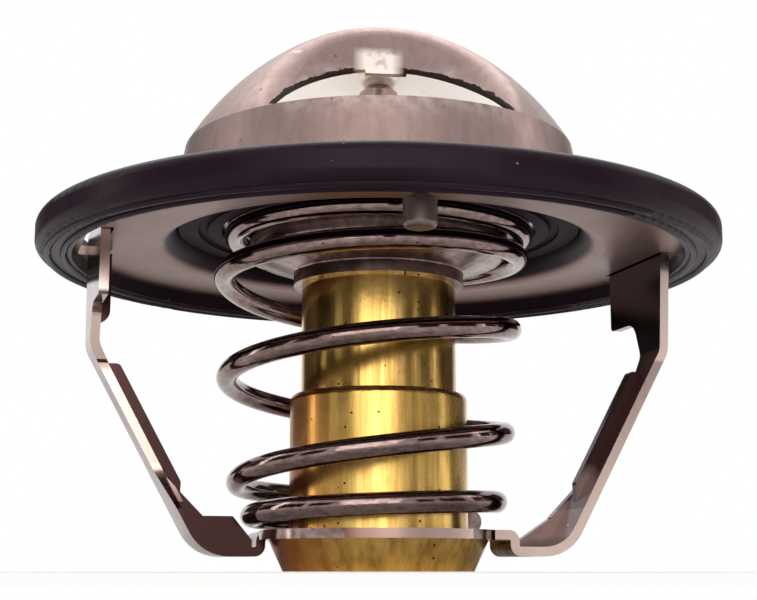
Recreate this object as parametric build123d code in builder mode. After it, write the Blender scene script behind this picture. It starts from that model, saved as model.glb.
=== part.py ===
from build123d import *
import os
from math import acos, atan2, cos, hypot, pi, radians, sin

# Engine coolant regulator of the wax pellet kind: a domed housing with a clipped-on
# rubber ring, a strap frame hooked under it, and a sprung valve that the pellet opens.
# Millimetres, +Z up, origin on the axis at the foot of the brass bush it stands on.

# housing: one stamping with flange, collar, arched bridge and pin pocket
sheet = 0.9
flange_margin = 4.2
flange_under = 31.25
collar_foot_radius = 21.35
collar_top_radius = 19.4
collar_rise = 10.05
collar_bend = 1.5
bridge_rise = 12.6
cap_step = 1.4
flank_radius = 28.07
scoop_centre = 25.0
bridge_foot = 11.0
bridge_crown = 5.34
ridge_round = 2.5
bridge_turn = 5.0
window_half_width = 11.1
window_margin = 6.2
tab_half_width = 2.0
tab_drop = 0.55
pocket_radius = 2.05
pocket_mouth_radius = 3.4
pocket_depth = 5.4
pocket_floor_radius = 1.25
pocket_bowl = 1.2
pocket_neck_height = 1.8

# rubber ring clipped over the edge of the flange
ring_wall = 1.5
ring_grip = 2.0
ring_under_lip = 1.4
ring_over_lip = 1.05
ring_round = 1.1
ring_rib = 0.35
ring_rib_gap = 0.75

# strap frame hooked through the flange
frame_turn = 17.0
strap = 0.9
seat_radius = 11.55
seat_under = 2.95
strap_under = 1.4
leg_reach = 27.8
leg_width = 5.4
leg_inset = 2.0
leg_foot_reach = 16.8
knee_height = 21.35
foot_bend = 4.0
knee_bend = 2.5
riser_gap = 0.1
riser_bend = 0.6
tongue = 2.0
head_near = 8.6
head_far = 3.2
head_under = 25.1
head_round = 0.5
neck_round = 1.8
neck_foot = 20.5
hook_length = 1.7
waist_inset = 4.1
waist_top = 19.5
waist_foot = 9.5
waist_low = 5.8
waist_round = 3.0
rim_depth = 1.85
rim_top = 19.7
rim_foot = 8.5
rim_round = 0.6
gusset_height = 3.8
gusset_fade = 3.0
gusset_toes = ((13.4, 16.9), (12.0, 13.9))
lip_depth = 1.3
lip_under = 23.95
slot_inner_gap = 0.3
slot_outer_gap = 1.0
slot_end_gap = 0.4

# brass bush that the pellet slides in
bush_radius = 8.65
bush_top = 17.0
bush_round = 0.7
bush_foot_radius = 9.2
bush_shoulder_radius = 10.6
running_gap = 0.08

# wax pellet and its pin
pellet_radius = 7.6
pellet_wall = 0.9
pellet_foot = 1.2
pellet_rim_radius = 9.2
pellet_rim_height = 30.25
pellet_rim = 0.8
crimp_width = 2.0
crimp = 0.6
fit_gap = 0.03
pin_radius = 1.95
pin_chamfer = 0.6
pin_foot = 11.7
pin_gap = 0.05
guide_flange = 1.6
guide_neck_radius = 3.8
guide_neck = 4.4
guide_round = 0.5
washer_radius = 4.6
washer = 0.8
boot_gap = 0.3
boot_wall = 1.5
boot_floor = 2.0
boot_flange = 1.0

# valve dish, its moulded seal and the spring
dish_sheet = 0.8
dish_top = 34.65
dish_wall_radius = 12.6
dish_cone_radius = 12.2
dish_cone_top = 30.75
dish_cone_foot = 29.35
dish_hub_foot = 27.8
dish_bend = 0.6
seal_cover = 2.14
seal_grip = 1.8
seal_skin = 0.7
seal_lip = 1.3
seal_gap = 0.2
seal_groove = 0.5
wire_radius = 1.03
coil_side_gap = 0.32
coil_mid_radius = 13.85
coil_low_radius = 12.7
coil_foot_radius = 11.9
coil_top_lead = 4.2
coil_foot_lead = 3.3
coil_foot_ease = 0.2
coil_sway = 1.0
coil_gap = 0.06
coil_seat_gap = 0.1
coil_steps = 10

# bleed pin that rattles in a hole of the flange
bleed_margin = 6.6
bleed_angle = -82.2
bleed_shank_radius = 0.75
bleed_hole_gap = 0.35
bleed_play = 0.8
bleed_weight_radius = 1.45
bleed_weight_height = 2.6
bleed_weight_round = 0.5
bleed_cap_radius = 1.9
bleed_cap_height = 0.8

# places worked out from the sizes above
flange_top = flange_under + sheet
flange_radius = leg_reach + flange_margin
ring_radius = flange_radius + ring_wall
ring_lip_radius = flange_radius - ring_grip
collar_top = flange_under + collar_rise
bridge_height = collar_top + bridge_rise
cap_radius = collar_top_radius - cap_step
window_height = bridge_rise - window_margin
pocket_floor = bridge_height - pocket_depth
pocket_neck = pocket_floor + pocket_neck_height
seat_top = seat_under + strap
rim_face = pellet_rim_height + pellet_rim
guide_top = rim_face + guide_flange
bush_bore = pellet_radius + running_gap
seat_bore = bush_radius + fit_gap
guide_bore = pin_radius + pin_gap
boot_radius = pin_radius + boot_gap + boot_wall
boot_foot = pin_foot - boot_gap - boot_floor
cup_bore = pellet_radius - pellet_wall
bleed_reach = flange_radius - bleed_margin
bleed_spot = (
    bleed_reach * cos(radians(bleed_angle)),
    bleed_reach * sin(radians(bleed_angle)),
)


def collar_radius(height, inset):
    """Radius of the collar wall at a height, drawn inwards by inset."""
    share = (height - flange_under) / collar_rise
    return collar_foot_radius + share * (collar_top_radius - collar_foot_radius) - inset


dish_seat = dish_top - dish_sheet
dish_radius = collar_radius(dish_top, sheet) - seal_gap - seal_cover
seal_inner_radius = dish_radius - seal_grip
coil_top_radius = seal_inner_radius - wire_radius - coil_side_gap
coil_top = dish_seat - coil_seat_gap - wire_radius
coil_foot = seat_top + coil_seat_gap + wire_radius
coil_stack = 2 * wire_radius + coil_gap

os.makedirs("parts", exist_ok=True)


def dome_outline(inset):
    """Adds the half section of collar and dome, drawn inwards by inset, to a sketch."""
    cap_centre = bridge_height - cap_radius
    rise = collar_top - cap_centre
    # the flank arc leaves the cap tangentially and ends at the top of the collar
    spread = flank_radius - cap_radius
    span = hypot(collar_top_radius, rise)
    swing = acos((span**2 + spread**2 - flank_radius**2) / (2 * spread * span))
    knee_angle = pi + atan2(rise, collar_top_radius) - swing
    brow_angle = (pi / 2 + knee_angle) / 2
    flank_x = -spread * cos(knee_angle)
    flank_z = cap_centre - spread * sin(knee_angle)
    reach = cap_radius - inset
    shrink = (flank_radius - inset) / flank_radius
    crown = (0, bridge_height - inset)
    brow = (reach * cos(brow_angle), cap_centre + reach * sin(brow_angle))
    knee = (reach * cos(knee_angle), cap_centre + reach * sin(knee_angle))
    shoulder = (
        flank_x + (collar_top_radius - flank_x) * shrink,
        flank_z + (collar_top - flank_z) * shrink,
    )
    mid_x = (knee[0] + shoulder[0]) / 2 - flank_x
    mid_z = (knee[1] + shoulder[1]) / 2 - flank_z
    bulge = (flank_radius - inset) / hypot(mid_x, mid_z)
    cheek = (flank_x + mid_x * bulge, flank_z + mid_z * bulge)
    with BuildLine() as outline:
        ThreePointArc(crown, brow, knee)
        ThreePointArc(knee, cheek, shoulder)
        Polyline(shoulder, (collar_radius(flange_under, inset), flange_under), (0, flange_under), crown)
    make_face(outline.edges())


def cut_scoops(inset):
    """Hollows both sides of a dome into a waisted bridge, inset deeper than its skin."""
    lift = bridge_rise + sheet
    reach = scoop_centre - bridge_foot + inset
    flare = lift * (bridge_foot - bridge_crown) / bridge_rise
    for side in (-1, 1):
        centre = (
            -side * scoop_centre * sin(radians(bridge_turn)),
            side * scoop_centre * cos(radians(bridge_turn)),
        )
        with BuildSketch(Plane.XY.offset(collar_top)) as low:
            with Locations(centre):
                Circle(reach)
        with BuildSketch(Plane.XY.offset(collar_top + lift)) as high:
            with Locations(centre):
                Circle(reach + flare)
        loft(sections=[low.sketch, high.sketch], mode=Mode.SUBTRACT)


def is_ridge(edge):
    """True for the edges where a scoop meets the dome."""
    return edge.geom_type == GeomType.BSPLINE and edge.center().Z > collar_top + sheet


def side_plane(turn, offset=0.0):
    """Upright plane through the axis: x runs outwards at turn degrees, y runs up."""
    turn = radians(turn)
    upright = Plane(origin=(0, 0, 0), x_dir=(cos(turn), sin(turn), 0), z_dir=(sin(turn), -cos(turn), 0))
    return upright.offset(offset)


def ground_plane(turn, height):
    """Level plane whose x runs outwards at turn degrees."""
    return Plane(origin=(0, 0, height), x_dir=(cos(radians(turn)), sin(radians(turn)), 0), z_dir=(0, 0, 1))


def tube_section(inner, outer, low, high):
    """Rectangle of a ring's half section."""
    with BuildLine() as outline:
        Polyline((inner, low), (outer, low), (outer, high), (inner, high), close=True)
    make_face(outline.edges())


# ---- housing ----
with BuildPart() as cavity:
    with BuildSketch(Plane.XZ):
        dome_outline(sheet)
    revolve(axis=Axis.Z)
    cut_scoops(sheet)
    fillet(cavity.edges().filter_by(is_ridge), ridge_round - sheet)
    with BuildSketch(Plane.XY.offset(flange_under)):
        Circle(flange_radius)
    extrude(amount=-sheet)
    inner_bend = cavity.edges().filter_by(GeomType.CIRCLE).group_by(Axis.Z)[1]
    fillet(inner_bend.sort_by(SortBy.RADIUS)[0], collar_bend + sheet)

with BuildPart() as housing:
    with BuildSketch(Plane.XZ):
        dome_outline(0)
    revolve(axis=Axis.Z)
    cut_scoops(0)
    fillet(housing.edges().filter_by(is_ridge), ridge_round)
    with BuildSketch(Plane.XY.offset(flange_under)):
        Circle(flange_radius)
    extrude(amount=sheet)
    flange_edges = housing.edges().filter_by(GeomType.CIRCLE)
    outer_bend = flange_edges.filter_by(lambda edge: abs(edge.center().Z - flange_top) < fit_gap)
    fillet(outer_bend.sort_by(SortBy.RADIUS)[0], collar_bend)
    add(cavity.part, mode=Mode.SUBTRACT)
    # flow windows: an arch through both skirts of the bridge, with a tab before the pocket
    with BuildSketch(side_plane(bridge_turn)):
        with BuildLine():
            ThreePointArc(
                (-window_half_width, collar_top),
                (0, collar_top + window_height),
                (window_half_width, collar_top),
            )
            Line((window_half_width, collar_top), (-window_half_width, collar_top))
        make_face()
        with Locations((0, collar_top + window_height - tab_drop)):
            Rectangle(2 * tab_half_width, window_height, align=(Align.CENTER, Align.MIN), mode=Mode.SUBTRACT)
    extrude(amount=collar_foot_radius, both=True, mode=Mode.SUBTRACT)
    # pocket that seats the pin
    with BuildSketch(Plane.XZ):
        with BuildLine():
            Line((0, pocket_floor), (pocket_floor_radius, pocket_floor))
            bowl = TangentArc(
                (pocket_floor_radius, pocket_floor),
                (pocket_radius, pocket_floor + pocket_bowl),
                tangent=(1, 0.4),
            )
            Polyline(
                bowl @ 1,
                (pocket_radius, pocket_neck),
                (pocket_mouth_radius, bridge_height - 2 * sheet),
                (pocket_mouth_radius, bridge_height - sheet),
                (0, bridge_height - sheet),
                (0, pocket_floor),
            )
        make_face()
    revolve(axis=Axis.Z)
    with BuildSketch(Plane.XZ):
        with BuildLine():
            Polyline(
                (0, pocket_floor + sheet),
                (pocket_floor_radius / 2, pocket_floor + sheet),
                (pocket_radius - sheet, pocket_floor + pocket_bowl + sheet / 2),
                (pocket_radius - sheet, pocket_neck + sheet / 2),
                (pocket_mouth_radius - sheet / 2, bridge_height),
                (0, bridge_height),
                close=True,
            )
        make_face()
    revolve(axis=Axis.Z, mode=Mode.SUBTRACT)
    # slots for the frame heads and the hole of the bleed pin
    for turn in (frame_turn, frame_turn + 180):
        with BuildSketch(ground_plane(turn, flange_under)):
            slot_low = leg_reach - strap - slot_inner_gap
            slot_high = leg_reach + slot_outer_gap
            with Locations(((slot_low + slot_high) / 2, (head_far - head_near) / 2)):
                Rectangle(slot_high - slot_low, head_near + head_far + 2 * slot_end_gap)
        extrude(amount=sheet, mode=Mode.SUBTRACT)
    with BuildSketch(Plane.XY.offset(flange_under)):
        with Locations(bleed_spot):
            Circle(bleed_shank_radius + bleed_hole_gap)
    extrude(amount=sheet, mode=Mode.SUBTRACT)
housing.part.label = "housing"
export_step(housing.part, "parts/housing.step")

# ---- rubber ring ----
with BuildPart() as flange_gasket:
    with BuildSketch(Plane.XZ) as ring_section:
        ring_low = flange_under - ring_under_lip
        ring_high = flange_top + ring_over_lip
        tube_section(ring_lip_radius, ring_radius, ring_low, ring_high)
        outer_corners = ring_section.vertices().group_by(Axis.X)[-1]
        fillet(outer_corners, ring_round)
        for rib in range(2):
            with Locations((ring_lip_radius + (2 * rib + 1) * ring_rib_gap, ring_low)):
                Circle(ring_rib)
        with BuildLine() as groove:
            Polyline(
                (ring_lip_radius, flange_under),
                (flange_radius, flange_under),
                (flange_radius, flange_top),
                (ring_lip_radius, flange_top),
                close=True,
            )
        make_face(groove.edges(), mode=Mode.SUBTRACT)
    revolve(axis=Axis.Z)
flange_gasket.part.label = "flange_gasket"
export_step(flange_gasket.part, "parts/flange_gasket.step")

# ---- strap frame ----
leg_run = (leg_reach - leg_foot_reach) / (knee_height - strap_under)
leg_skew = (1 + leg_run**2) ** 0.5
floor_mid = strap_under + strap / 2
seat_mid = seat_under + strap / 2
post_mid = leg_reach - strap / 2


def lean_reach(height, inset):
    """How far out the sloping part of a leg is at a height, inset from its outer face."""
    return leg_foot_reach + (height - strap_under) * leg_run - inset * leg_skew


riser_mid = bush_shoulder_radius + riser_gap + strap / 2
foot_corner = (lean_reach(floor_mid, strap / 2), floor_mid)
knee_corner = (post_mid, strap_under + (post_mid - leg_foot_reach + strap / 2 * leg_skew) / leg_run)
hook_mid = flange_top + strap / 2

with BuildPart() as frame_leg:
    # the bent strap, first as wide as its head
    with BuildSketch(Plane.XZ.offset(-head_far)):
        with BuildLine():
            FilletPolyline(
                (riser_mid - tongue, seat_mid),
                (riser_mid, seat_mid),
                (riser_mid, floor_mid),
                foot_corner,
                knee_corner,
                (post_mid, hook_mid),
                (post_mid - strap / 2 - hook_length, hook_mid),
                radius=[riser_bend, riser_bend, foot_bend, knee_bend, 0],
            )
        trace(line_width=strap)
    extrude(amount=head_far + head_near)
    # its flat outline: a wide head on a leg that narrows along the slope
    near_edge = leg_inset + leg_width
    crest = flange_top + 2 * strap
    with BuildSketch(Plane.YZ):
        with BuildLine():
            FilletPolyline(
                (-leg_inset, 0),
                (-leg_inset, waist_low),
                (-waist_inset, waist_foot),
                (-waist_inset, waist_top),
                (-leg_inset, head_under),
                (head_far, head_under),
                (head_far, crest),
                (-head_near, crest),
                (-near_edge, neck_foot),
                (-near_edge, 0),
                radius=[waist_round, waist_round, waist_round, neck_round, head_round, 0, 0, waist_round],
            )
            Line((-near_edge, 0), (-leg_inset, 0))
        make_face()
    extrude(amount=leg_reach + strap, mode=Mode.INTERSECT)
    # stiffening rim turned inwards along the waisted edge of the slope
    with BuildSketch(Plane.XZ.offset(waist_inset)):
        with BuildLine():
            FilletPolyline(
                (lean_reach(rim_top, strap / 2), rim_top),
                (lean_reach(rim_top, rim_depth), rim_top),
                (lean_reach(rim_foot, rim_depth), rim_foot),
                (lean_reach(waist_low, strap / 2), waist_low),
                radius=rim_round,
            )
            Line((lean_reach(waist_low, strap / 2), waist_low), (lean_reach(rim_top, strap / 2), rim_top))
        make_face()
    extrude(amount=strap)

# small lip turned inwards at the post of the left leg only
with BuildPart() as frame_lip:
    with BuildSketch(Plane.XZ.offset(near_edge - strap)) as lip_face:
        with Locations((post_mid, lip_under)):
            Rectangle(lip_depth + strap / 2, flange_under - lip_under - slot_inner_gap, align=(Align.MAX, Align.MIN))
        lip_corner = lip_face.vertices().group_by(Axis.X)[0].sort_by(Axis.Y)[0]
        fillet(lip_corner, lip_depth)
    extrude(amount=strap)


def foot_gusset(toe, root):
    """Upright fin in the bend of a foot, level from the slope to root, then down to toe."""
    fade = waist_low + gusset_fade
    with BuildPart() as gusset:
        with BuildSketch(Plane.XZ.offset(leg_inset)):
            with BuildLine():
                FilletPolyline(
                    (toe, floor_mid),
                    foot_corner,
                    (lean_reach(fade, strap / 2), fade),
                    radius=foot_bend,
                )
                Polyline(
                    (lean_reach(fade, strap / 2), fade),
                    (lean_reach(strap_under + gusset_height, rim_depth), strap_under + gusset_height),
                    (root, strap_under + gusset_height),
                    (toe, seat_under),
                    (toe, floor_mid),
                )
            make_face()
        extrude(amount=strap)
    return gusset.part


with BuildPart() as spring_frame:
    with BuildSketch(Plane.XY.offset(seat_under)):
        Circle(seat_radius)
        Circle(seat_bore, mode=Mode.SUBTRACT)
    extrude(amount=strap)
    for turn, (toe, root) in zip((frame_turn, frame_turn + 180), gusset_toes):
        add(frame_leg.part, rotation=(0, 0, turn))
        add(foot_gusset(toe, root), rotation=(0, 0, turn))
    add(frame_lip.part, rotation=(0, 0, frame_turn + 180))
spring_frame.part.label = "spring_frame"
export_step(spring_frame.part, "parts/spring_frame.step")

# ---- guide bush ----
with BuildPart() as guide_bush:
    with BuildSketch(Plane.XZ) as bush_section:
        tube_section(bush_bore, bush_radius, 0, bush_top)
        with BuildLine() as foot_cone:
            Polyline(
                (bush_bore, 0),
                (bush_foot_radius, 0),
                (bush_shoulder_radius, seat_under),
                (bush_bore, seat_under),
                close=True,
            )
        make_face(foot_cone.edges())
        top_corner = bush_section.vertices().group_by(Axis.Y)[-1].sort_by(Axis.X)[-1]
        fillet(top_corner, bush_round)
    revolve(axis=Axis.Z)
guide_bush.part.label = "guide_bush"
export_step(guide_bush.part, "parts/guide_bush.step")

# ---- pin ----
with BuildPart() as piston:
    with BuildSketch(Plane.XY.offset(pin_foot)):
        Circle(pin_radius)
    extrude(amount=pocket_floor - pin_foot)
    chamfer(piston.edges().group_by(Axis.Z)[-1], pin_chamfer)
piston.part.label = "piston"
export_step(piston.part, "parts/piston.step")

# ---- wax cup ----
with BuildPart() as wax_cup:
    with BuildSketch(Plane.XZ) as cup_section:
        tube_section(0, pellet_radius, pellet_foot, pellet_rim_height)
        tube_section(0, pellet_rim_radius, pellet_rim_height, guide_top + crimp)
        foot_edge = cup_section.vertices().group_by(Axis.Y)[0].sort_by(Axis.X)[-1]
        fillet(foot_edge, bush_round)
    revolve(axis=Axis.Z)
    with BuildSketch(Plane.XZ):
        tube_section(0, cup_bore, pellet_foot + pellet_wall, rim_face)
        tube_section(0, pellet_rim_radius - pellet_rim, rim_face, guide_top)
        tube_section(0, pellet_rim_radius - crimp_width, guide_top, guide_top + crimp)
    revolve(axis=Axis.Z, mode=Mode.SUBTRACT)
wax_cup.part.label = "wax_cup"
export_step(wax_cup.part, "parts/wax_cup.step")

# ---- guide of the pin ----
with BuildPart() as piston_guide:
    with BuildSketch(Plane.XZ) as guide_section:
        tube_section(guide_bore, pellet_rim_radius - pellet_rim, rim_face, guide_top)
        tube_section(guide_bore, guide_neck_radius, guide_top, guide_top + guide_neck)
        neck_edge = guide_section.vertices().group_by(Axis.Y)[-1].sort_by(Axis.X)[-1]
        fillet(neck_edge, guide_round)
        with BuildLine() as washer_seat:
            Polyline(
                (guide_bore, rim_face),
                (washer_radius, rim_face),
                (washer_radius, rim_face + washer),
                (guide_bore, rim_face + washer),
                close=True,
            )
        make_face(washer_seat.edges(), mode=Mode.SUBTRACT)
    revolve(axis=Axis.Z)
piston_guide.part.label = "piston_guide"
export_step(piston_guide.part, "parts/piston_guide.step")

# ---- washer that keeps the boot from chafing ----
with BuildPart() as boot_washer:
    with BuildSketch(Plane.XZ):
        tube_section(guide_bore, washer_radius, rim_face, rim_face + washer)
    revolve(axis=Axis.Z)
boot_washer.part.label = "boot_washer"
export_step(boot_washer.part, "parts/boot_washer.step")

# ---- rubber boot round the pin ----
with BuildPart() as rubber_boot:
    with BuildSketch(Plane.XZ) as boot_section:
        tube_section(0, boot_radius, boot_foot, rim_face)
        tube_section(0, cup_bore, rim_face - boot_flange, rim_face)
        boot_edge = boot_section.vertices().group_by(Axis.Y)[0].sort_by(Axis.X)[-1]
        fillet(boot_edge, boot_wall)
    revolve(axis=Axis.Z)
    with BuildSketch(Plane.XZ):
        tube_section(0, pin_radius + boot_gap, pin_foot - boot_gap, rim_face)
    revolve(axis=Axis.Z, mode=Mode.SUBTRACT)
rubber_boot.part.label = "rubber_boot"
export_step(rubber_boot.part, "parts/rubber_boot.step")

# ---- wax ----
with BuildPart() as wax_charge:
    with BuildSketch(Plane.XZ):
        tube_section(0, cup_bore, pellet_foot + pellet_wall, rim_face - boot_flange)
    revolve(axis=Axis.Z)
    with BuildSketch(Plane.XZ) as boot_room:
        tube_section(0, boot_radius, boot_foot, rim_face - boot_flange)
        room_edge = boot_room.vertices().group_by(Axis.Y)[0].sort_by(Axis.X)[-1]
        fillet(room_edge, boot_wall)
    revolve(axis=Axis.Z, mode=Mode.SUBTRACT)
wax_charge.part.label = "wax_charge"
export_step(wax_charge.part, "parts/wax_charge.step")

# ---- valve dish ----
with BuildPart() as valve_dish:
    with BuildSketch(Plane.XZ):
        hub_mid = pellet_radius + fit_gap + dish_sheet / 2
        rim_mid = dish_top - dish_sheet / 2
        with BuildLine():
            FilletPolyline(
                (hub_mid, dish_hub_foot),
                (hub_mid, dish_cone_foot),
                (dish_cone_radius, dish_cone_top),
                (dish_wall_radius, rim_mid),
                (dish_radius, rim_mid),
                radius=dish_bend,
            )
        trace(line_width=dish_sheet)
    revolve(axis=Axis.Z)
valve_dish.part.label = "valve_dish"
export_step(valve_dish.part, "parts/valve_dish.step")

# ---- moulded seal on the edge of the dish ----
with BuildPart() as valve_seal:
    seal_low = dish_seat - seal_skin
    seal_high = dish_top + seal_lip
    with BuildSketch(Plane.XZ):
        with BuildLine() as seal_outline:
            Polyline(
                (seal_inner_radius, seal_low),
                (collar_radius(seal_low, sheet) - seal_gap, seal_low),
                (collar_radius(seal_high, sheet) - seal_gap, seal_high),
                (dish_radius, seal_high),
                (seal_inner_radius, dish_top + seal_skin),
                close=True,
            )
        make_face(seal_outline.edges())
        with Locations((dish_radius, seal_low)):
            Circle(seal_groove, mode=Mode.SUBTRACT)
        with BuildLine() as dish_edge:
            Polyline(
                (seal_inner_radius, dish_seat),
                (dish_radius, dish_seat),
                (dish_radius, dish_top),
                (seal_inner_radius, dish_top),
                close=True,
            )
        make_face(dish_edge.edges(), mode=Mode.SUBTRACT)
    revolve(axis=Axis.Z)
valve_seal.part.label = "valve_seal"
export_step(valve_seal.part, "parts/valve_seal.step")

# ---- main spring ----
# stations along the wire: turn, height and coil radius, with a closed coil at the top
coil_stations = (
    (-0.5, coil_top, coil_top_radius),
    (0.0, coil_top, coil_top_radius),
    (0.5, coil_top - coil_stack, coil_top_radius),
    (1.0, coil_top - coil_top_lead, coil_top_radius),
    (2.0, (coil_top - coil_top_lead + coil_foot + coil_foot_lead) / 2, coil_mid_radius),
    (3.0, coil_foot + coil_foot_lead, coil_low_radius),
    (3.5, coil_foot + coil_foot_lead / 2, (coil_low_radius + coil_foot_radius) / 2),
    (4.0, coil_foot + coil_foot_ease, coil_foot_radius),
    (4.4, coil_foot, coil_foot_radius),
)


def coil_point(turn):
    """Centre of the wire after a number of turns from the left, wound down a left-hand helix."""
    for start, end in zip(coil_stations, coil_stations[1:]):
        if turn <= end[0]:
            break
    share = (turn - start[0]) / (end[0] - start[0])
    height = start[1] + share * (end[1] - start[1])
    radius = start[2] + share * (end[2] - start[2])
    # the free coils stand a little to one side of the two seats
    sway = coil_sway * min(1, max(0, turn), max(0, coil_stations[-1][0] - turn))
    angle = pi * (1 - 2 * turn)
    return (radius * cos(angle) - sway, radius * sin(angle), height)


with BuildPart() as main_spring:
    first_turn = coil_stations[0][0]
    coil_turns = coil_stations[-1][0] - first_turn
    steps = round(coil_turns * coil_steps)
    with BuildLine() as wire_path:
        Spline(*[coil_point(first_turn + coil_turns * step / steps) for step in range(steps + 1)])
    with BuildSketch(Plane(wire_path.line @ 0, z_dir=wire_path.line % 0)):
        Circle(wire_radius)
    sweep(path=wire_path.line)
main_spring.part.label = "main_spring"
export_step(main_spring.part, "parts/main_spring.step")

# ---- bleed pin and its weight ----
with BuildPart() as bleed_pin:
    with BuildSketch(Plane.XY.offset(flange_under - bleed_play)):
        with Locations(bleed_spot):
            Circle(bleed_shank_radius)
    extrude(amount=sheet + bleed_play)
    with BuildSketch(Plane.XY.offset(flange_top)):
        with Locations(bleed_spot):
            Circle(bleed_cap_radius)
    extrude(amount=bleed_cap_height)
    fillet(bleed_pin.edges().group_by(Axis.Z)[-1], bleed_cap_height / 2)
bleed_pin.part.label = "bleed_pin"
export_step(bleed_pin.part, "parts/bleed_pin.step")

with BuildPart() as bleed_weight:
    with BuildSketch(Plane.XY.offset(flange_under - bleed_play)):
        with Locations(bleed_spot):
            Circle(bleed_weight_radius)
    extrude(amount=-bleed_weight_height)
    fillet(bleed_weight.edges().group_by(Axis.Z)[0], bleed_weight_round)
bleed_weight.part.label = "bleed_weight"
export_step(bleed_weight.part, "parts/bleed_weight.step")
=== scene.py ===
import math
import bpy
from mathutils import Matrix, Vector


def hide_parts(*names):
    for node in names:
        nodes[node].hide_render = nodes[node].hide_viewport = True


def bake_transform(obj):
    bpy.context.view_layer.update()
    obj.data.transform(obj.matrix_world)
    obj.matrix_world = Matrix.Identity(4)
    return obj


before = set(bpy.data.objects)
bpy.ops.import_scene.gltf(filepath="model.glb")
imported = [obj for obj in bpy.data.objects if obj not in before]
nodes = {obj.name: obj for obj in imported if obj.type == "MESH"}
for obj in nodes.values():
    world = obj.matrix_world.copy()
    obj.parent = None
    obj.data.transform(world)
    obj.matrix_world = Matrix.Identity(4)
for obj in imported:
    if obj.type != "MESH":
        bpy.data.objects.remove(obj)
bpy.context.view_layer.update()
print("frame loaded:", len(nodes), "nodes")


def placeInScene(name, data, place=(0, 0, 0)):
    item = bpy.data.objects.new(name, data)
    item.location = place
    bpy.context.scene.collection.objects.link(item)
    return item


def setInput(tree, socket, value):
    # a number goes on the socket itself, anything else is linked to it
    if isinstance(value, (int, float)):
        socket.default_value = value
    else:
        tree.links.new(value, socket)


def mathNode(tree, operation, first, second=None):
    node = tree.nodes.new("ShaderNodeMath")
    node.operation = operation
    setInput(tree, node.inputs[0], first)
    if second is not None:
        setInput(tree, node.inputs[1], second)
    return node.outputs[0]


def times(tree, first, *others):
    for other in others:
        first = mathNode(tree, "MULTIPLY", first, other)
    return first


def plus(tree, first, second):
    return mathNode(tree, "ADD", first, second)


def minus(tree, first, second):
    return mathNode(tree, "SUBTRACT", first, second)


def either(tree, first, second):
    return mathNode(tree, "MAXIMUM", first, second)


def isOver(tree, value, limit):
    return mathNode(tree, "GREATER_THAN", value, limit)


def isUnder(tree, value, limit):
    return mathNode(tree, "LESS_THAN", value, limit)


def unsigned(tree, value):
    return mathNode(tree, "ABSOLUTE", value)


def rangeNode(tree, value, low, high, toLow=0.0, toHigh=1.0):
    node = tree.nodes.new("ShaderNodeMapRange")
    tree.links.new(value, node.inputs["Value"])
    setInput(tree, node.inputs["From Min"], low)
    setInput(tree, node.inputs["From Max"], high)
    setInput(tree, node.inputs["To Min"], toLow)
    setInput(tree, node.inputs["To Max"], toHigh)
    return node.outputs[0]


# camera

viewpoint = {
    "distance": 0.14219,  # from the valve's axis, metres
    "height": 0.0,  # level with the foot of the bush
    "tilt": 10.57,  # degrees upwards
    "focalPixels": 1455.5,
    "frameWidth": 757,
    "sensorWidth": 36,
    "nearest": 0.005,
    "farthest": 20,
}


def placeCamera():
    data = bpy.data.cameras.new("benchCamera")
    data.sensor_width = viewpoint["sensorWidth"]
    data.lens = viewpoint["focalPixels"] * viewpoint["sensorWidth"] / viewpoint["frameWidth"]
    data.clip_start = viewpoint["nearest"]
    data.clip_end = viewpoint["farthest"]
    camera = placeInScene("benchCamera", data, (0, -viewpoint["distance"], viewpoint["height"]))
    camera.rotation_euler = (math.radians(90 + viewpoint["tilt"]), 0, 0)
    bpy.context.scene.camera = camera


# floor and light

studio = {
    "floorColour": (0.93, 0.93, 0.93),
    "floorGloss": 0.1,
    "floorHalf": 0.6,
    "floorDrop": 0.00005,  # keeps the floor clear of the foot of the bush
    "roomLight": 0.55,
    "roomColour": (1.0, 0.985, 0.97),
    "seenColour": (1.0, 1.0, 1.0),
    "aimHeight": 0.028,
    "lamps": {
        # name: place, size x, size y, watts, colour
        "frontPanel": ((-0.02, -0.46, 0.17), 0.42, 0.34, 0.95, (1.0, 0.98, 0.95)),
        "topPanel": ((-0.03, 0.20, 0.52), 0.60, 0.40, 1.7, (1.0, 0.98, 0.96)),
        "leftStrip": ((-0.46, 0.02, 0.16), 0.05, 0.36, 0.15, (1.0, 0.97, 0.95)),
        "rightStrip": ((0.44, 0.06, 0.20), 0.10, 0.36, 0.2, (1.0, 0.96, 0.93)),
    },
    "domeLamps": {
        # stand for the light that the windows let into the dome
        "domeLampLeft": (-0.0075, 0.0, 0.0425),
        "domeLampRight": (0.0075, 0.0, 0.0425),
    },
    "domeLampWatts": 0.0026,
    "domeLampRadius": 0.0015,
    "cards": {
        # dark cards that only show in the metal: azimuth from the front, half width
        "cardLeftNear": (-46, 0.075),
        "cardLeftFar": (-74, 0.09),
        "cardRightNear": (44, 0.06),
        "cardRightFar": (72, 0.10),
        "cardRightSide": (100, 0.05),
        "cardLeftSide": (-102, 0.05),
        "cardBackLeft": (-128, 0.15),
        "cardBackRight": (128, 0.15),
    },
    "cardHalfHeight": 0.09,
    "cardHeight": 0.13,  # of a card's middle
    "cardReach": 0.42,
    "cardColour": (0.035, 0.022, 0.02),
    "mattRough": 0.9,
}


def aim(item):
    target = Vector((0, 0, studio["aimHeight"]))
    item.rotation_euler = (target - item.location).to_track_quat("-Z", "Y").to_euler()


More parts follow.
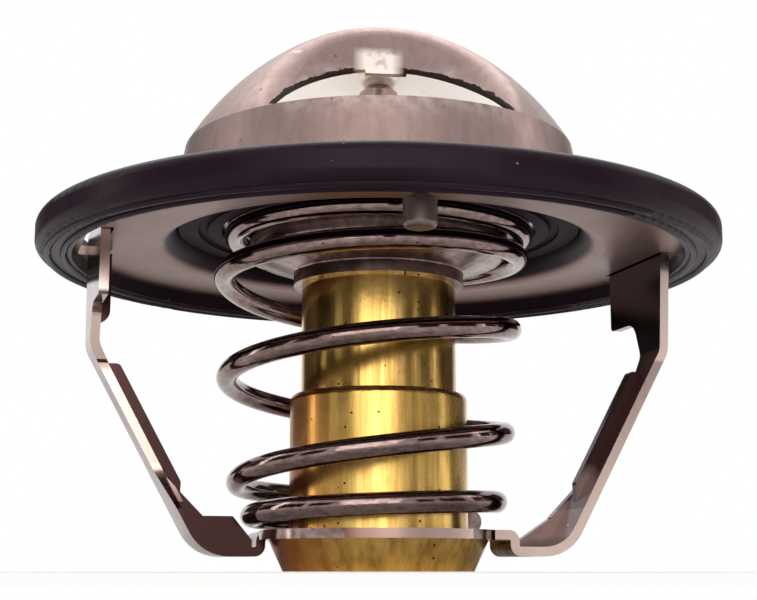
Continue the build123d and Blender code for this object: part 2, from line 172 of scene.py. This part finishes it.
def lightRoom():
    # white where it is looked at or mirrored, dimmer where it lights matt surfaces
    world = bpy.data.worlds.new("studioRoom")
    bpy.context.scene.world = world
    world.use_nodes = True
    tree = world.node_tree
    tree.nodes.clear()
    paths = tree.nodes.new("ShaderNodeLightPath")
    seen = either(tree, paths.outputs["Is Camera Ray"], paths.outputs["Is Transmission Ray"])
    seen = either(tree, seen, paths.outputs["Is Glossy Ray"])
    room = tree.nodes.new("ShaderNodeBackground")
    room.inputs["Color"].default_value = (*studio["roomColour"], 1)
    room.inputs["Strength"].default_value = studio["roomLight"]
    white = tree.nodes.new("ShaderNodeBackground")
    white.inputs["Color"].default_value = (*studio["seenColour"], 1)
    mix = tree.nodes.new("ShaderNodeMixShader")
    tree.links.new(seen, mix.inputs[0])
    tree.links.new(room.outputs[0], mix.inputs[1])
    tree.links.new(white.outputs[0], mix.inputs[2])
    out = tree.nodes.new("ShaderNodeOutputWorld")
    tree.links.new(mix.outputs[0], out.inputs[0])


def hangLamps():
    for name, (place, wide, tall, watts, colour) in studio["lamps"].items():
        data = bpy.data.lights.new(name, "AREA")
        data.shape = "RECTANGLE"
        data.size = wide
        data.size_y = tall
        data.energy = watts
        data.color = colour
        aim(placeInScene(name, data, place))
    for name, place in studio["domeLamps"].items():
        data = bpy.data.lights.new(name, "POINT")
        data.shadow_soft_size = studio["domeLampRadius"]
        data.energy = studio["domeLampWatts"]
        lamp = placeInScene(name, data, place)
        lamp.visible_camera = False
        lamp.visible_glossy = False


def makeMatt(name, colour):
    material = bpy.data.materials.new(name)
    material.use_nodes = True
    shader = material.node_tree.nodes["Principled BSDF"]
    shader.inputs["Base Color"].default_value = (*colour, 1)
    shader.inputs["Roughness"].default_value = studio["mattRough"]
    return material


def makePlate(name, halfWide, halfTall, material, place):
    corners = [(x * halfWide, y * halfTall, 0) for x, y in ((-1, -1), (1, -1), (1, 1), (-1, 1))]
    mesh = bpy.data.meshes.new(name)
    mesh.from_pydata(corners, [], [(0, 1, 2, 3)])
    mesh.materials.append(material)
    return placeInScene(name, mesh, place)


def layFloorAndCards():
    paper = makeMatt("palePaper", studio["floorColour"])
    shader = paper.node_tree.nodes["Principled BSDF"]
    shader.inputs["Specular IOR Level"].default_value = studio["floorGloss"]
    half = studio["floorHalf"]
    floor = makePlate("benchPaper", half, half, paper, (0, 0, -studio["floorDrop"]))
    black = makeMatt("darkCard", studio["cardColour"])
    for name, (azimuth, halfWide) in studio["cards"].items():
        turn = math.radians(azimuth)
        reach = studio["cardReach"]
        place = (reach * math.sin(turn), -reach * math.cos(turn), studio["cardHeight"])
        card = makePlate(name, halfWide, studio["cardHalfHeight"], black, place)
        aim(card)
        card.visible_camera = False
        card.visible_shadow = False


bpy.context.scene.view_settings.view_transform = "Standard"
placeCamera()
lightRoom()
hangLamps()
layFloorAndCards()
print("camera and studio set")


# shared surface effects, all in millimetres

perMetre = 1000


def startGroup(name, outputs, **inputs):
    # makes a group with these results, and these inputs with their usual values
    tree = bpy.data.node_groups.new(name, "ShaderNodeTree")
    for label, value in inputs.items():
        socket = tree.interface.new_socket(label, in_out="INPUT", socket_type="NodeSocketFloat")
        socket.default_value = value
    for label in outputs:
        tree.interface.new_socket(label, in_out="OUTPUT", socket_type="NodeSocketFloat")
    tree.nodes.new("NodeGroupInput").name = "given"
    return tree, tree.nodes.new("NodeGroupOutput").inputs


def given(tree, label):
    return tree.nodes["given"].outputs[label]


def useGroup(tree, group, **values):
    node = tree.nodes.new("ShaderNodeGroup")
    node.node_tree = group
    for label, value in values.items():
        node.inputs[label].default_value = value
    return node.outputs


def placeInMillimetres(tree):
    coords = tree.nodes.new("ShaderNodeTexCoord")
    scale = tree.nodes.new("ShaderNodeVectorMath")
    scale.operation = "MULTIPLY"
    tree.links.new(coords.outputs["Object"], scale.inputs[0])
    scale.inputs[1].default_value = (perMetre, perMetre, perMetre)
    return scale.outputs[0]


def stretchPlace(tree, place, across, along):
    stretch = tree.nodes.new("ShaderNodeCombineXYZ")
    for socket, share in zip(stretch.inputs, (across, across, along)):
        tree.links.new(share, socket)
    scale = tree.nodes.new("ShaderNodeVectorMath")
    scale.operation = "MULTIPLY"
    tree.links.new(place, scale.inputs[0])
    tree.links.new(stretch.outputs[0], scale.inputs[1])
    return scale.outputs[0]


def splitVector(tree, vector):
    split = tree.nodes.new("ShaderNodeSeparateXYZ")
    tree.links.new(vector, split.inputs[0])
    return split.outputs


def splitNormal(tree):
    coords = tree.nodes.new("ShaderNodeTexCoord")
    return splitVector(tree, coords.outputs["Normal"])


def lengthOf(tree, first, second):
    square = plus(tree, times(tree, first, first), times(tree, second, second))
    return mathNode(tree, "SQRT", square)


def noiseNode(tree, place, scale, detail, rough, seed=None):
    noise = tree.nodes.new("ShaderNodeTexNoise")
    tree.links.new(place, noise.inputs["Vector"])
    setInput(tree, noise.inputs["Scale"], scale)
    setInput(tree, noise.inputs["Detail"], detail)
    setInput(tree, noise.inputs["Roughness"], rough)
    if seed is not None:
        noise.noise_dimensions = "4D"
        tree.links.new(seed, noise.inputs["W"])
    return noise.outputs["Fac"]


def makeStreakGroup():
    # drawn lines: fine across, long along the axis
    tree, result = startGroup("drawnStreaks", ("Mask", "Height"), Across=2.0, Along=0.05, Low=0.45, High=0.65)
    place = stretchPlace(tree, placeInMillimetres(tree), given(tree, "Across"), given(tree, "Along"))
    noise = noiseNode(tree, place, scale=1.0, detail=4.0, rough=0.6)
    tree.links.new(noise, result["Height"])
    tree.links.new(rangeNode(tree, noise, given(tree, "Low"), given(tree, "High")), result["Mask"])
    return tree


def makeBlotchGroup():
    # soft stains and handling marks; also the noise that breaks up the painted shade and highlights in the
    # dome
    tree, result = startGroup("stainsAndPaintedLightBreakup", ("Mask", "Value"), Scale=0.1, Low=0.45, High=0.6, Seed=0.0)
    place = placeInMillimetres(tree)
    noise = noiseNode(tree, place, given(tree, "Scale"), detail=5.0, rough=0.58, seed=given(tree, "Seed"))
    tree.links.new(noise, result["Value"])
    tree.links.new(rangeNode(tree, noise, given(tree, "Low"), given(tree, "High")), result["Mask"])
    return tree


def makeSpeckGroup():
    # dust grains and small pits: a few cells of a random pattern
    tree, result = startGroup("dustAndPits", ("Mask",), Scale=1.5, Size=0.16, Share=0.2)
    cells = tree.nodes.new("ShaderNodeTexVoronoi")
    tree.links.new(placeInMillimetres(tree), cells.inputs["Vector"])
    tree.links.new(given(tree, "Scale"), cells.inputs["Scale"])
    near = isUnder(tree, cells.outputs["Distance"], given(tree, "Size"))
    split = tree.nodes.new("ShaderNodeSeparateColor")
    tree.links.new(cells.outputs["Color"], split.inputs[0])
    picked = isUnder(tree, split.outputs[0], given(tree, "Share"))
    tree.links.new(times(tree, near, picked), result["Mask"])
    return tree


def makeWearGroup():
    # rubbed convex edges, broken up by a noise
    tree, result = startGroup("rubbedEdges", ("Mask",), Low=0.52, High=0.6)
    shape = tree.nodes.new("ShaderNodeNewGeometry")
    edge = rangeNode(tree, shape.outputs["Pointiness"], given(tree, "Low"), given(tree, "High"))
    noise = noiseNode(tree, placeInMillimetres(tree), scale=0.9, detail=3.0, rough=0.5)
    broken = rangeNode(tree, noise, low=0.35, high=0.6)
    tree.links.new(times(tree, edge, broken), result["Mask"])
    return tree


streakGroup = makeStreakGroup()
blotchGroup = makeBlotchGroup()
speckGroup = makeSpeckGroup()
wearGroup = makeWearGroup()
print("surface effects ready")


def mixColour(tree, mask, first, second):
    node = tree.nodes.new("ShaderNodeMix")
    node.data_type = "RGBA"
    tree.links.new(mask, node.inputs["Factor"])
    colourSockets = [socket for socket in node.inputs if socket.type == "RGBA"]
    for socket, value in zip(colourSockets, (first, second)):
        if isinstance(value, tuple):
            socket.default_value = (*value, 1)
        else:
            tree.links.new(value, socket)
    return [socket for socket in node.outputs if socket.type == "RGBA"][0]


def startMaterial(name):
    material = bpy.data.materials.new(name)
    material.use_nodes = True
    tree = material.node_tree
    return material, tree, tree.nodes["Principled BSDF"]


def addBump(tree, shader, height, distance):
    bump = tree.nodes.new("ShaderNodeBump")
    bump.inputs["Distance"].default_value = distance
    bump.inputs["Strength"].default_value = 1.0
    tree.links.new(height, bump.inputs["Height"])
    tree.links.new(bump.outputs[0], shader.inputs["Normal"])


def finishMesh(mesh, material):
    mesh.materials.clear()
    mesh.materials.append(material)


def finishNode(name, material):
    finishMesh(nodes[name].data, material)


metalWork = {
    "streakLow": 0.4,
    "streakHigh": 0.66,
    "pitSize": 0.2,
    "pitDepth": 0.3,
    "edgeBlend": 0.07,
    "noiseLow": 0.3,
    "noiseHigh": 0.7,
}


def makeWornMetal(name, look):
    # streaks, stains, pits and rubbed edges; the look's places give some faces a finish of their own
    material, tree, shader = startMaterial(name)
    streaks = useGroup(
        tree, streakGroup, Across=look["streakAcross"], Along=look["streakAlong"],
        Low=metalWork["streakLow"], High=metalWork["streakHigh"],
    )
    stains = useGroup(
        tree, blotchGroup, Scale=look["stainScale"], Low=look["stainLow"], High=look["stainHigh"],
        Seed=look["seed"],
    )
    pits = useGroup(
        tree, speckGroup, Scale=look["pitScale"], Size=metalWork["pitSize"], Share=look["pitShare"]
    )
    edgeHigh = look["edgeLow"] + metalWork["edgeBlend"]
    edges = useGroup(tree, wearGroup, Low=look["edgeLow"], High=edgeHigh)
    colour = mixColour(tree, streaks["Mask"], look["colour"], look["streakColour"])
    colour = mixColour(tree, stains["Mask"], colour, look["stainColour"])
    colour = mixColour(tree, pits["Mask"], colour, look["pitColour"])
    colour = mixColour(tree, edges["Mask"], colour, look["edgeColour"])
    noiseEnds = (metalWork["noiseLow"], metalWork["noiseHigh"])
    rough = rangeNode(tree, stains["Value"], *noiseEnds, look["roughLow"], look["roughHigh"])
    rough = plus(tree, rough, times(tree, streaks["Mask"], look["streakRough"]))
    metal = look["metal"]
    shader.inputs["Metallic"].default_value = metal
    for group, part, finish in look.get("places", ()):
        mask = useGroup(tree, group)[part]
        colour = mixColour(tree, mask, colour, finish["colour"])
        rough = plus(tree, rough, times(tree, mask, finish["rougher"]))
        if "metal" in finish:
            kept = times(tree, minus(tree, 1.0, mask), metal)
            metal = plus(tree, kept, times(tree, mask, finish["metal"]))
            tree.links.new(metal, shader.inputs["Metallic"])
    tree.links.new(colour, shader.inputs["Base Color"])
    tree.links.new(rough, shader.inputs["Roughness"])
    height = times(tree, streaks["Height"], look["streakDepth"])
    height = plus(tree, height, times(tree, stains["Value"], look["wave"]))
    height = minus(tree, height, times(tree, pits["Mask"], metalWork["pitDepth"]))
    addBump(tree, shader, height, look["bump"])
    return material


# housing: one pressing, with painted shade under the flange and in the mouth below the collar, and painted
# light inside the dome

underside = {
    "mouthReach": 20.9,  # painted shade in the mouth goes this far from the axis, and fades over mouthBlend
    "mouthBlend": 0.6,
    "top": 38.0,
    "downStart": -0.4,  # the normal's height where a face starts to count as an underside
    "downFull": -0.8,
    "inwards": -2.0,  # walls whose normal times place is below this face the axis
}

dome = {
    "archRadius": 12.826,  # of the windows' top edge, and the height of its centre
    "archCentre": 34.874,
    "windowTurn": 5.0,  # degrees that the windows are cut off square
    "cutFlat": 0.08,  # a cut face's normal has no more than this along y
    "lineThin": 0.12,  # painted shade line over the arch
    "lineExtra": 0.35,
    "lineStart": 4.0,  # from the plane between the windows
    "lineRagged": {"Scale": 0.9, "Low": 0.3, "High": 0.7, "Seed": 8.0},
    "skinFoot": 41.6,
    "skinCentre": 36.0,  # the skin's outside faces away from this height on the axis
    "skinFacing": -0.5,
    "pocketReach": 3.0,
    "pocketFacing": 0.2,  # the pocket's bowl, which faces further up than this, keeps the plain finish
    "tabHalfWidth": 1.9,
    "tabBlend": 0.6,
    "tabTop": 49.4,
    "tabFade": 0.9,
    "tabHighlightBreakup": {"Scale": 0.5, "Low": 0.32, "High": 0.5, "Seed": 5.0},
}


def makeUndersideShadeGroup():
    # painted shade on faces of the housing that look down: the flange from below, and the mouth of the collar
    tree, result = startGroup("paintedUndersideShade", ("UnderShade", "MouthShade"))
    x, y, z = splitVector(tree, placeInMillimetres(tree))
    normalX, normalY, normalZ = splitNormal(tree)
    low = isUnder(tree, z, underside["top"])
    under = rangeNode(tree, normalZ, underside["downStart"], underside["downFull"])
    tree.links.new(times(tree, under, low), result["UnderShade"])
    outward = plus(tree, times(tree, normalX, x), times(tree, normalY, y))
    inner = either(tree, isUnder(tree, outward, underside["inwards"]), under)
    edge = underside["mouthReach"] + underside["mouthBlend"]
    near = rangeNode(tree, lengthOf(tree, x, y), edge, underside["mouthReach"])
    tree.links.new(times(tree, near, inner, low), result["MouthShade"])
    return tree


def makeInsideLightAndShadeGroup():
    # painted light on the dome's skin seen from inside, painted shade on the rims of its windows, and painted
    # highlights on the pin pocket and its tab
    tree, result = startGroup("paintedInsideLightAndShade", ("Mask", "RimShade", "PocketHighlight"))
    x, y, z = splitVector(tree, placeInMillimetres(tree))
    normal = tree.nodes.new("ShaderNodeTexCoord").outputs["Normal"]
    normalY, normalZ = splitVector(tree, normal)[1:]
    high = isOver(tree, z, dome["skinFoot"])

    # painted light on the skin's faces that look in towards skinCentre
    outward = tree.nodes.new("ShaderNodeCombineXYZ")
    tree.links.new(x, outward.inputs[0])
    tree.links.new(y, outward.inputs[1])
    tree.links.new(minus(tree, z, dome["skinCentre"]), outward.inputs[2])
    straight = tree.nodes.new("ShaderNodeVectorMath")
    straight.operation = "NORMALIZE"
    tree.links.new(outward.outputs[0], straight.inputs[0])
    facing = tree.nodes.new("ShaderNodeVectorMath")
    facing.operation = "DOT_PRODUCT"
    tree.links.new(normal, facing.inputs[0])
    tree.links.new(straight.outputs[0], facing.inputs[1])
    inner = isUnder(tree, facing.outputs["Value"], dome["skinFacing"])
    tree.links.new(times(tree, inner, high), result["Mask"])

    # painted shade on the arch of the windows, looked at along the way they are cut, and on the cut faces
    turn = math.radians(dome["windowTurn"])
    across = plus(tree, times(tree, x, math.cos(turn)), times(tree, y, math.sin(turn)))
    rise = minus(tree, z, dome["archCentre"])
    past = minus(tree, lengthOf(tree, across, rise), dome["archRadius"])
    ragged = useGroup(tree, blotchGroup, **dome["lineRagged"])["Mask"]
    width = plus(tree, times(tree, ragged, dome["lineExtra"]), dome["lineThin"])
    flat = isUnder(tree, unsigned(tree, normalY), dome["cutFlat"])
    cut = either(tree, flat, isUnder(tree, past, width))
    clear = isOver(tree, unsigned(tree, y), dome["lineStart"])
    tree.links.new(times(tree, cut, clear, high), result["RimShade"])

    # painted highlight on the pin pocket, and on the tab, broken up by a noise
    middle = isUnder(tree, lengthOf(tree, x, y), dome["pocketReach"])
    middle = times(tree, middle, isUnder(tree, normalZ, dome["pocketFacing"]))
    tabOuter = dome["tabHalfWidth"] + dome["tabBlend"]
    tabInner = dome["tabHalfWidth"] - dome["tabBlend"]
    tab = rangeNode(tree, unsigned(tree, x), tabOuter, tabInner)
    low = rangeNode(tree, z, dome["tabTop"] + dome["tabFade"], dome["tabTop"])
    highlightBreakup = useGroup(tree, blotchGroup, **dome["tabHighlightBreakup"])["Mask"]
    bright = either(tree, middle, times(tree, tab, low, highlightBreakup))
    tree.links.new(times(tree, bright, high), result["PocketHighlight"])
    return tree


undersideShadeGroup = makeUndersideShadeGroup()
insideLightAndShadeGroup = makeInsideLightAndShadeGroup()

pressedSteel = {
    "colour": (0.31, 0.222, 0.205), "streakColour": (0.265, 0.185, 0.17), "stainColour": (0.2, 0.13, 0.12),
    "pitColour": (0.1, 0.07, 0.065), "edgeColour": (0.5, 0.4, 0.37),
    "streakAcross": 1.2, "streakAlong": 0.25, "streakRough": 0.03, "streakDepth": 0.12,
    "stainScale": 0.06, "stainLow": 0.45, "stainHigh": 0.8, "seed": 1.0,
    "pitScale": 1.2, "pitShare": 0.04, "edgeLow": 0.54,
    "roughLow": 0.32, "roughHigh": 0.44, "wave": 0.5, "bump": 0.00003, "metal": 1.0,
    "places": (
        # painted shade on the flange's underside
        (undersideShadeGroup, "UnderShade", {"colour": (0.22, 0.135, 0.12), "rougher": 0.0}),
        # painted shade, near black, in the mouth of the collar
        (undersideShadeGroup, "MouthShade", {"colour": (0.012, 0.006, 0.008), "rougher": 0.1}),
        # painted light on the inside of the dome
        (insideLightAndShadeGroup, "Mask", {"colour": (0.9, 0.86, 0.82), "rougher": 0.15, "metal": 0.15}),
        # painted shade on the rims of the windows
        (insideLightAndShadeGroup, "RimShade", {"colour": (0.02, 0.009, 0.007), "rougher": 0.1}),
        # painted highlight on the pin pocket and tab
        (insideLightAndShadeGroup, "PocketHighlight", {"colour": (0.9, 0.8, 0.72), "rougher": -0.05, "metal": 0.75}),
    ),
}
finishNode("housing", makeWornMetal("pressedSteel", pressedSteel))

# spring frame: a strap turned round the axis, bare where it was sheared, with painted highlights on these
# edges, and painted dark reflection, shade and light on its faces

strap = {
    "turn": 17.0,  # degrees
    "sideFacing": 0.85,
    "outerReach": 6.9,  # side faces further than this from the middle plane are bare
    "innerReach": 3.9,  # and so are those nearer than this, above innerFoot
    "innerFoot": 8.0,
    # a leg's outer face: slopeAlong * distance along the strap = slopeUp * height + slopeStart
    "slopeAlong": 0.879,
    "slopeUp": 0.48,
    "slopeStart": 14.16,
    "slopeFoot": 6.5,
    "slopeTop": 19.7,
    "edgeWidth": 0.85,  # of a sloping leg's bare edge
    "footLeft": -4.0,  # painted shade: bare edges darken from footRight to footLeft, and from footTop to footFull
    "footRight": 15.0,
    "footTop": 10.0,
    "footFull": 6.0,
    "gussetStart": 10.0,
    "gussetFull": 12.0,
    "gussetTop": 10.5,
    "gussetFade": 9.0,
    "inwardStart": -0.2,
    "inwardFull": -0.6,
    "inwardFoot": 6.0,
    "headFoot": 31.0,
    "headFacing": 0.5,
}


def makeShearAndPaintedLightGroup():
    # sheared edges of the strap: bare and satin, unlike its rolled faces, with a painted highlight; also the
    # painted shade, dark reflection and light on the strap's other faces
    tree, result = startGroup("shearedEdgesAndPaintedLight", ("Mask", "Left", "FoldedDarkReflection", "GussetLight", "InnerShade", "Top"))
    turn = math.radians(strap["turn"])
    x, y, z = splitVector(tree, placeInMillimetres(tree))
    normalX, normalY, normalZ = splitNormal(tree)
    across = minus(tree, times(tree, x, math.sin(turn)), times(tree, y, math.cos(turn)))
    along = plus(tree, times(tree, x, math.cos(turn)), times(tree, y, math.sin(turn)))
    facing = minus(tree, times(tree, normalX, math.sin(turn)), times(tree, normalY, math.cos(turn)))
    sideways = isOver(tree, unsigned(tree, facing), strap["sideFacing"])

    outer = isOver(tree, unsigned(tree, across), strap["outerReach"])
    inside = isUnder(tree, unsigned(tree, across), strap["innerReach"])
    inside = times(tree, inside, isOver(tree, z, strap["innerFoot"]))
    legFace = plus(tree, times(tree, z, strap["slopeUp"]), strap["slopeStart"])
    depth = minus(tree, legFace, times(tree, unsigned(tree, along), strap["slopeAlong"]))
    sloped = times(tree, isOver(tree, z, strap["slopeFoot"]), isUnder(tree, z, strap["slopeTop"]))
    legEdge = times(tree, isUnder(tree, depth, strap["edgeWidth"]), sloped)
    bare = either(tree, either(tree, outer, inside), legEdge)
    # bare sheared edges, which also get a painted highlight
    sheared = times(tree, sideways, bare)
    # folded faces, which get a painted dark reflection
    folded = times(tree, sideways, minus(tree, 1.0, bare))
    tree.links.new(sheared, result["Mask"])
    tree.links.new(folded, result["FoldedDarkReflection"])

    # painted shade on the bare edges of the left leg, towards its foot
    left = rangeNode(tree, x, strap["footRight"], strap["footLeft"])
    foot = rangeNode(tree, z, strap["footTop"], strap["footFull"])
    tree.links.new(times(tree, sheared, left, foot), result["Left"])
    # painted light on the folded faces at the toe
    toe = rangeNode(tree, x, strap["gussetStart"], strap["gussetFull"])
    toeTop = rangeNode(tree, z, strap["gussetTop"], strap["gussetFade"])
    tree.links.new(times(tree, folded, toe, toeTop), result["GussetLight"])

    # painted shade on faces that look towards the axis
    outward = plus(tree, times(tree, normalX, x), times(tree, normalY, y))
    outward = mathNode(tree, "DIVIDE", outward, lengthOf(tree, x, y))
    inner = rangeNode(tree, outward, strap["inwardStart"], strap["inwardFull"])
    tree.links.new(times(tree, inner, isOver(tree, z, strap["inwardFoot"])), result["InnerShade"])
    # painted light on the upward faces of the heads
    top = times(tree, isOver(tree, normalZ, strap["headFacing"]), isOver(tree, z, strap["headFoot"]))
    tree.links.new(top, result["Top"])
    return tree


shearAndPaintedLightGroup = makeShearAndPaintedLightGroup()

strapSteel = {
    "colour": (0.17, 0.115, 0.108), "streakColour": (0.145, 0.096, 0.09), "stainColour": (0.1, 0.052, 0.048),
    "pitColour": (0.4, 0.33, 0.3), "edgeColour": (0.36, 0.26, 0.235),
    "streakAcross": 1.2, "streakAlong": 0.2, "streakRough": 0.02, "streakDepth": 0.1,
    "stainScale": 0.04, "stainLow": 0.45, "stainHigh": 0.85, "seed": 4.0,
    "pitScale": 1.1, "pitShare": 0.04, "edgeLow": 0.57,
    "roughLow": 0.1, "roughHigh": 0.18, "wave": 0.3, "bump": 0.00003, "metal": 1.0,
    "places": (
        # painted shade on the faces that look towards the axis
        (shearAndPaintedLightGroup, "InnerShade", {"colour": (0.05, 0.025, 0.026), "rougher": 0.02}),
        # bare sheared steel, with a painted highlight
        (shearAndPaintedLightGroup, "Mask", {"colour": (0.78, 0.6, 0.53), "rougher": 0.1}),
        # painted shade on the left leg's bare edges near the foot
        (shearAndPaintedLightGroup, "Left", {"colour": (0.17, 0.075, 0.062), "rougher": 0.0}),
        # painted dark reflection on the folded faces
        (shearAndPaintedLightGroup, "FoldedDarkReflection", {"colour": (0.06, 0.03, 0.028), "rougher": 0.02}),
        # painted light on the folded faces at the toe
        (shearAndPaintedLightGroup, "GussetLight", {"colour": (0.3, 0.22, 0.2), "rougher": 0.1}),
        # painted light on the heads' upward faces
        (shearAndPaintedLightGroup, "Top", {"colour": (0.24, 0.165, 0.15), "rougher": 0.1}),
    ),
}
finishNode("spring_frame", makeWornMetal("strapSteel", strapSteel))

# main spring: a copy of the imported coil

springWire = {
    "colour": (0.29, 0.205, 0.19), "streakColour": (0.15, 0.105, 0.1), "stainColour": (0.1, 0.055, 0.05),
    "pitColour": (0.05, 0.035, 0.03), "edgeColour": (0.36, 0.3, 0.28),
    "streakAcross": 1.0, "streakAlong": 3.0, "streakRough": 0.02, "streakDepth": 0.2,
    "stainScale": 0.1, "stainLow": 0.5, "stainHigh": 0.8, "seed": 7.0,
    "pitScale": 2.0, "pitShare": 0.05, "edgeLow": 0.6,
    "roughLow": 0.06, "roughHigh": 0.14, "wave": 0.5, "bump": 0.00002, "metal": 1.0,
    "seatedTurn": 0.0016,  # metres at each end that lie flat
}


packedCoil = nodes["main_spring"]
coil = placeInScene("mainCoil", packedCoil.data.copy())
coil.matrix_world = packedCoil.matrix_world.copy()
finishMesh(coil.data, makeWornMetal("springWire", springWire))
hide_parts("main_spring")
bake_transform(coil)

# dish and pin: the wire's finish in other colours

drawnDish = dict(
    springWire, colour=(0.36, 0.25, 0.23), streakAcross=0.8, streakAlong=0.8, seed=9.0,
    roughLow=0.2, roughHigh=0.34,
)
finishNode("valve_dish", makeWornMetal("drawnDish", drawnDish))

groundPin = dict(
    springWire, colour=(0.42, 0.33, 0.31), streakColour=(0.36, 0.27, 0.25), seed=11.0,
    roughLow=0.1, roughHigh=0.18,
)
finishNode("piston", makeWornMetal("groundPin", groundPin))

# brass: the pellet's cup and guide, and the bush, which is browner on its left


def makeLeftBrownGroup():
    # one side of a turned part, browner towards its left
    tree, result = startGroup("leftSideBrown", ("Mask",), From=-3.0, Full=-9.0)
    x = splitVector(tree, placeInMillimetres(tree))[0]
    tree.links.new(rangeNode(tree, x, given(tree, "From"), given(tree, "Full")), result["Mask"])
    return tree


drawnBrass = {
    "colour": (0.76, 0.5, 0.15), "streakColour": (0.44, 0.25, 0.065), "stainColour": (0.36, 0.16, 0.04),
    "pitColour": (0.08, 0.035, 0.012), "edgeColour": (0.8, 0.55, 0.2),
    "streakAcross": 0.9, "streakAlong": 0.04, "streakRough": 0.05, "streakDepth": 0.8,
    "stainScale": 0.3, "stainLow": 0.58, "stainHigh": 0.85, "seed": 14.0,
    "pitScale": 1.6, "pitShare": 0.1, "edgeLow": 0.54,
    "roughLow": 0.13, "roughHigh": 0.24, "wave": 0.8, "bump": 0.00003, "metal": 1.0,
}
turnedBrass = dict(
    drawnBrass, colour=(0.8, 0.52, 0.15), seed=17.0, roughLow=0.18, roughHigh=0.3, streakAcross=0.7,
    places=((makeLeftBrownGroup(), "Mask", {"colour": (0.4, 0.11, 0.02), "rougher": 0.0}),),
)
finishNode("wax_cup", makeWornMetal("drawnBrass", drawnBrass))
finishNode("guide_bush", makeWornMetal("turnedBrass", turnedBrass))
finishNode("piston_guide", makeWornMetal("guideBrass", dict(drawnBrass, seed=21.0)))

# bleed valve: the wire's finish again, duller

bleedMetal = dict(
    springWire, colour=(0.22, 0.165, 0.16), streakColour=(0.18, 0.13, 0.125), seed=23.0,
    roughLow=0.35, roughHigh=0.5,
)
finishNode("bleed_pin", makeWornMetal("bleedPinMetal", bleedMetal))
finishNode("bleed_weight", makeWornMetal("bleedWeightMetal", dict(bleedMetal, seed=25.0)))
print("metals finished")


rubberWork = {
    "bloomLow": 0.45,
    "bloomHigh": 0.75,
    "dustSize": 0.11,
    "grainShift": 3.0,  # of the seed, so that the grain does not follow the bloom
    "noiseLow": 0.3,
    "noiseHigh": 0.7,
}


def makeRubber(name, look):
    # a soft bloom with dust on it, also used for wax and washer
    material, tree, shader = startMaterial(name)
    bloom = useGroup(
        tree, blotchGroup, Scale=look["bloomScale"], Low=rubberWork["bloomLow"],
        High=rubberWork["bloomHigh"], Seed=look["seed"],
    )
    dust = useGroup(
        tree, speckGroup, Scale=look["dustScale"], Size=rubberWork["dustSize"], Share=look["dustShare"]
    )
    grainSeed = look["seed"] + rubberWork["grainShift"]
    grain = useGroup(tree, blotchGroup, Scale=look["grainScale"], Seed=grainSeed)
    colour = mixColour(tree, bloom["Mask"], look["colour"], look["bloomColour"])
    colour = mixColour(tree, dust["Mask"], colour, look["dustColour"])
    tree.links.new(colour, shader.inputs["Base Color"])
    noiseEnds = (rubberWork["noiseLow"], rubberWork["noiseHigh"])
    rough = rangeNode(tree, bloom["Value"], *noiseEnds, look["roughLow"], look["roughHigh"])
    tree.links.new(rough, shader.inputs["Roughness"])
    shader.inputs["Specular IOR Level"].default_value = look["gloss"]
    addBump(tree, shader, grain["Value"], look["bump"])
    return material


ringRubber = {
    "colour": (0.013, 0.005, 0.011), "bloomColour": (0.025, 0.012, 0.02), "dustColour": (0.2, 0.16, 0.15),
    "bloomScale": 0.07, "grainScale": 2.2, "dustScale": 1.1, "dustShare": 0.05, "seed": 31.0,
    "roughLow": 0.3, "roughHigh": 0.45, "gloss": 0.1, "bump": 0.00003,
}
sealRubber = dict(ringRubber, seed=35.0, roughLow=0.5, roughHigh=0.65, gloss=0.05)
finishNode("flange_gasket", makeRubber("ringRubber", ringRubber))
finishNode("valve_seal", makeRubber("sealRubber", sealRubber))
finishNode("rubber_boot", makeRubber("bootRubber", dict(ringRubber, seed=37.0)))
print("rubber finished")

waxLook = {
    "colour": (0.5, 0.3, 0.16), "bloomColour": (0.62, 0.42, 0.26), "dustColour": (0.75, 0.45, 0.25),
    "bloomScale": 0.3, "grainScale": 1.5, "dustScale": 1.4, "dustShare": 0.35, "seed": 41.0,
    "roughLow": 0.5, "roughHigh": 0.65, "gloss": 0.4, "bump": 0.00004,
}
finishNode("wax_charge", makeRubber("copperWax", waxLook))
washerLook = dict(
    waxLook, colour=(0.8, 0.78, 0.74), bloomColour=(0.86, 0.84, 0.8), dustColour=(0.5, 0.46, 0.42),
    dustShare=0.05, seed=43.0,
)
finishNode("boot_washer", makeRubber("whiteWasher", washerLook))
print("inner pieces finished")
